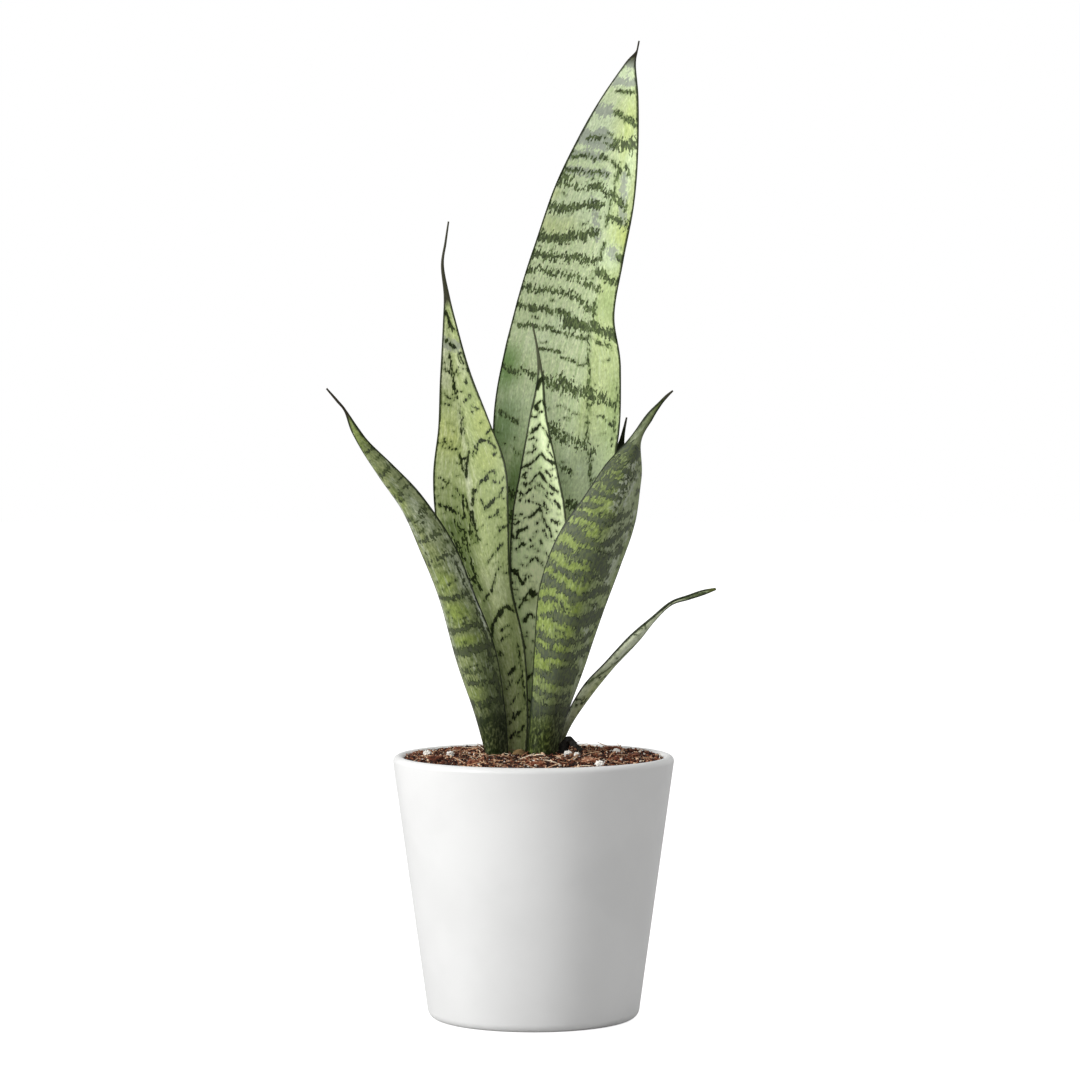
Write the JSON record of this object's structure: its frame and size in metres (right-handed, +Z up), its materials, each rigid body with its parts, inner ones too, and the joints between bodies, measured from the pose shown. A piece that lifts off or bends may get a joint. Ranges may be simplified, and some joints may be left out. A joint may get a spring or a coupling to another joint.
{
  "type": "potted snake plant",
  "caption": "Snake plant with stiff banded strap leaves rising from bark mix in a plain white tapered ceramic planter.",
  "frame": {"origin": "on the ground under the middle of the planter's flat underside", "axes": "+Z up along the planter's axis, +X to the right as seen from the front, -Y towards the front"},
  "size_m": [0.184, 0.1348, 0.4696],
  "materials": {
    "planter_glaze": "satin white glaze",
    "potting_mix": "coarse damp coir and bark",
    "leaf_pale": "waxy grey-green with dark jagged cross bands",
    "leaf_yellow_green": "waxy yellow-green with dark chevron bands",
    "leaf_cream": "waxy cream-green with dark chevrons",
    "leaf_olive": "waxy olive green with dark cross bands",
    "leaf_dark": "waxy dark green with near-black cross bands",
    "dry_sheath": "dry dull black-brown",
    "rhizome": "dry matt brown",
    "bark": "rough reddish brown",
    "perlite": "rough off-white"
  },
  "bodies": {
    "root": {"planter": "planter_glaze", "potting_mix": "potting_mix", "leaf_tall": "leaf_pale", "leaf_left_upright": "leaf_yellow_green", "leaf_centre": "leaf_cream", "leaf_left_outer": "leaf_olive", "leaf_right_dark": "leaf_dark", "leaf_right_low": "leaf_pale", "leaf_back": "leaf_dark", "dried_sheath": "dry_sheath", "rhizome_knob": "rhizome", "bark_chip_01": "bark", "bark_chip_02": "bark", "bark_chip_03": "bark", "bark_chip_04": "bark", "bark_chip_05": "bark", "bark_chip_06": "bark", "bark_chip_07": "bark", "bark_chip_08": "bark", "perlite_grain_01": "perlite", "perlite_grain_02": "perlite", "perlite_grain_03": "perlite", "perlite_grain_04": "perlite", "perlite_grain_05": "perlite", "perlite_grain_06": "perlite"}
  },
  "joints": []
}
